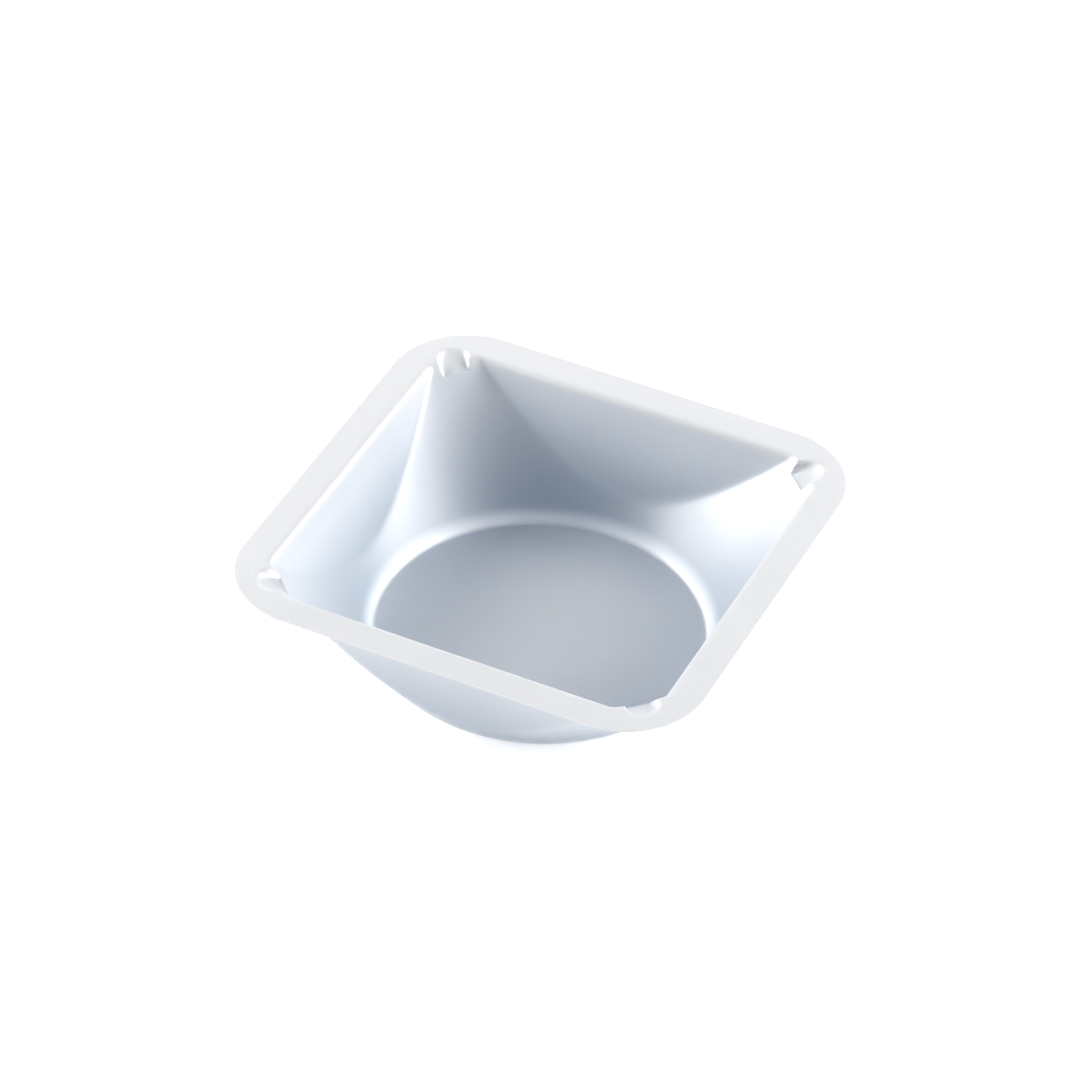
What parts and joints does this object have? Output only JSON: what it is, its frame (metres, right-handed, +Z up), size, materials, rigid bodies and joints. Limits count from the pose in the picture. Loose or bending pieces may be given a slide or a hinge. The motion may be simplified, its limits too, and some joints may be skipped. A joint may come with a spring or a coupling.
{
  "type": "weighing boat",
  "caption": "Square disposable weighing boat: a thin milky plastic dish with a flat flange, a cone-shaped bowl, flat side walls and a round flat floor.",
  "frame": {"origin": "centre of the round base's underside", "axes": "+Z up out of the mouth, +X and +Y square to the flange's sides"},
  "size_m": [0.085, 0.085, 0.024],
  "materials": {
    "sheet": "satin, slightly translucent milky white polystyrene sheet"
  },
  "bodies": {
    "root": {"boat": "sheet"}
  },
  "joints": []
}
